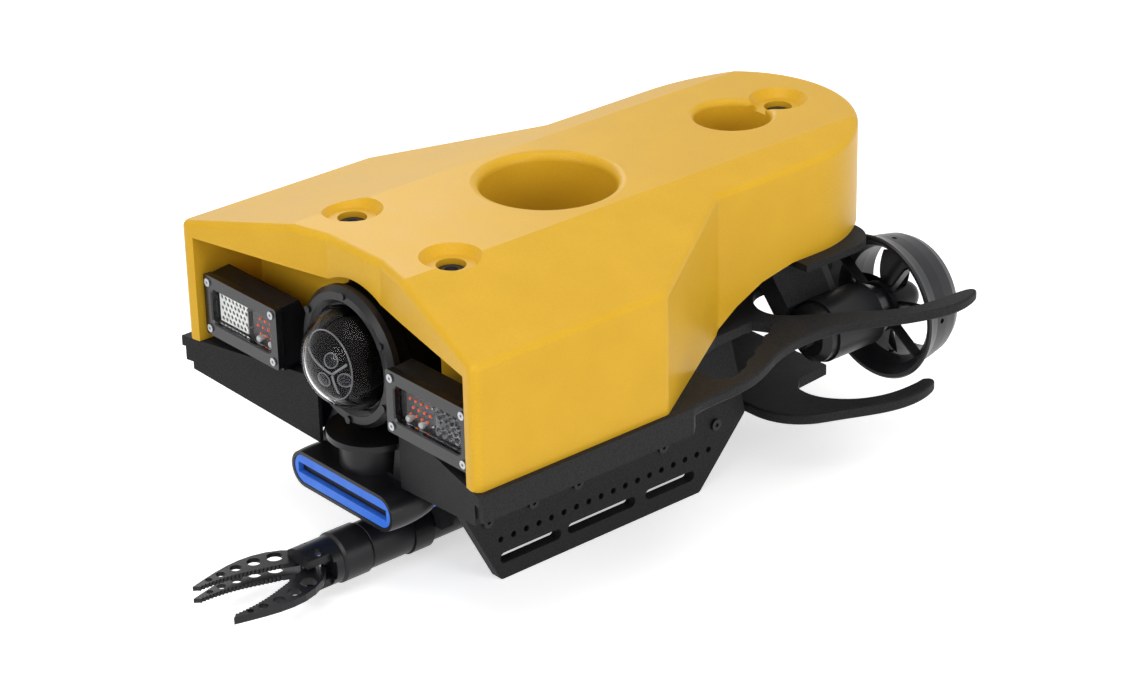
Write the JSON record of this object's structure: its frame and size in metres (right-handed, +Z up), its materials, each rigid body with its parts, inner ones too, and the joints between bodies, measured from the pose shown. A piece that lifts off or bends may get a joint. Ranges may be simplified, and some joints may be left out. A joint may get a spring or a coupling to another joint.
{
  "type": "underwater inspection vehicle",
  "caption": "Compact underwater inspection vehicle with a foam float over open skids, domed tilting camera, light modules, imaging sonar, jawed gripper and ducted thrusters.",
  "frame": {"origin": "middle of the vehicle's outline at ground level, under the skids", "axes": "+Z up, -Y towards the nose with the camera and gripper, +X to port"},
  "size_m": [0.3832, 0.6334, 0.2718],
  "materials": {
    "float_foam": "satin painted foam",
    "black_plastic": "fine textured",
    "grey_metal": "satin anodised",
    "steel": "bare stainless",
    "blue_metal": "satin anodised blue",
    "light_glass": "clear",
    "dome_glass": "clear dome, dark inside",
    "reflector_white": "matte white",
    "lamp_board": "metallised honeycomb",
    "aluminium": "machined"
  },
  "bodies": {
    "hull": {"ballast_bars": "steel", "camera_bottle": "black_plastic", "camera_dome": "dome_glass", "camera_ring": "grey_metal", "camera_ring_screws": "steel", "camera_yoke": "black_plastic", "can_end_caps": "aluminium", "can_saddles": "black_plastic", "chassis_plate": "black_plastic", "electronics_can": "aluminium", "float_block": "float_foam", "float_screws": "steel", "front_chins": "black_plastic", "gripper_barrel": "aluminium", "gripper_clamps": "black_plastic", "light_screws": "steel", "lower_guard_plate": "black_plastic", "pod_connectors": "black_plastic", "port_led_board": "lamp_board", "port_light_bezel": "grey_metal", "port_light_housing": "black_plastic", "port_light_window": "light_glass", "port_motor_pod": "grey_metal", "port_nozzle": "black_plastic", "port_reflector": "reflector_white", "port_skid": "black_plastic", "port_stator": "grey_metal", "port_thruster_strut": "black_plastic", "skid_screws": "steel", "sonar_body": "blue_metal", "sonar_bracket": "black_plastic", "sonar_face": "blue_metal", "sonar_head": "black_plastic", "sonar_window": "black_plastic", "starboard_led_board": "lamp_board", "starboard_light_bezel": "grey_metal", "starboard_light_housing": "black_plastic", "starboard_light_window": "light_glass", "starboard_motor_pod": "grey_metal", "starboard_nozzle": "black_plastic", "starboard_reflector": "reflector_white", "starboard_skid": "black_plastic", "starboard_stator": "grey_metal", "starboard_thruster_strut": "black_plastic", "tail_deck": "black_plastic", "tether_connector": "black_plastic", "vertical_duct": "black_plastic", "vertical_motor": "grey_metal"},
    "camera_head": {"camera_cradle": "black_plastic", "camera_lens": "dome_glass"},
    "port_screw": {"port_propeller": "black_plastic"},
    "starboard_screw": {"starboard_propeller": "black_plastic"},
    "lift_screw": {"vertical_propeller": "black_plastic"},
    "gripper_wrist": {"wrist_collar": "aluminium", "clevis_head": "aluminium", "jaw_pins": "steel"},
    "gripper_rod": {"push_rod": "steel"},
    "jaw_port": {"port_jaw": "aluminium"},
    "jaw_starboard": {"starboard_jaw": "aluminium"}
  },
  "joints": [
    {"name": "camera_tilt", "type": "hinge", "parent": "hull", "child": "camera_head", "pos_m": [0, -0.1745, 0.186], "axis": [1, 0, 0], "range_deg": [-45, 45]},
    {"name": "port_spin", "type": "hinge", "parent": "hull", "child": "port_screw", "pos_m": [0.106, 0.2932, 0.118], "axis": [0, 1, 0], "continuous": true},
    {"name": "starboard_spin", "type": "hinge", "parent": "hull", "child": "starboard_screw", "pos_m": [-0.106, 0.2932, 0.118], "axis": [0, 1, 0], "continuous": true},
    {"name": "lift_spin", "type": "hinge", "parent": "hull", "child": "lift_screw", "pos_m": [0, 0.0173, 0.177], "axis": [0, 0, 1], "continuous": true},
    {"name": "wrist_roll", "type": "hinge", "parent": "hull", "child": "gripper_wrist", "pos_m": [0, -0.1963, 0.0245], "axis": [0, 1, 0], "range_deg": [-180, 180]},
    {"name": "port_jaw_swing", "type": "hinge", "parent": "gripper_wrist", "child": "jaw_port", "pos_m": [0.009, -0.2263, 0.0245], "axis": [0, 0, 1], "range_deg": [-16, 18]},
    {"name": "starboard_jaw_swing", "type": "hinge", "parent": "gripper_wrist", "child": "jaw_starboard", "pos_m": [-0.009, -0.2263, 0.0245], "axis": [0, 0, 1], "range_deg": [-18, 16]},
    {"name": "rod_travel", "type": "slide", "parent": "gripper_wrist", "child": "gripper_rod", "axis": [0, 1, 0], "range_m": [-0.002, 0.003]}
  ],
  "couplings": [
    {"joint": "starboard_jaw_swing", "follows": "port_jaw_swing", "ratio": -1},
    {"joint": "rod_travel", "follows": "port_jaw_swing", "m_per_rad": -0.006}
  ]
}
